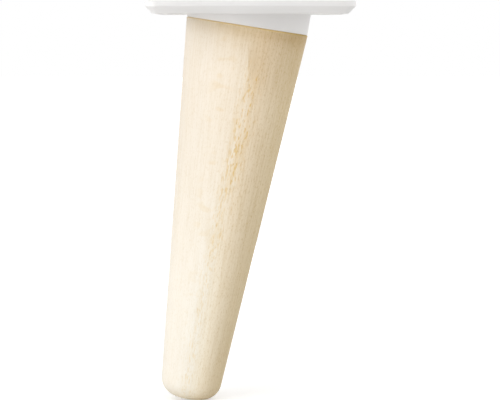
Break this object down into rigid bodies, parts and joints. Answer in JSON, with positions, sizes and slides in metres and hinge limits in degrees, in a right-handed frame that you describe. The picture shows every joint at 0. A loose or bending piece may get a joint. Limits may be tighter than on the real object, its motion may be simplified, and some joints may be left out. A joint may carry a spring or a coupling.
{
  "type": "slanted tapered wooden furniture leg",
  "caption": "Round tapered beech furniture leg, slanted, bolted to a square moulded mounting plate with a wedge-shaped collar and countersunk screw holes.",
  "frame": {"origin": "centre of the plate's mounting face, which is also the centre of its four screw holes", "axes": "+Z out of the mounting face, into the furniture; the leg slants down towards -X in the XZ plane; Y across"},
  "size_m": [0.1, 0.1, 0.2001],
  "materials": {
    "beech": "sanded, clear matt",
    "white_plastic": "moulded, satin",
    "plated_steel": "zinc plated"
  },
  "bodies": {
    "root": {"leg": "beech", "mounting_plate": "white_plastic", "hanger_bolt": "plated_steel", "washer": "plated_steel", "hex_nut": "plated_steel"}
  },
  "joints": []
}
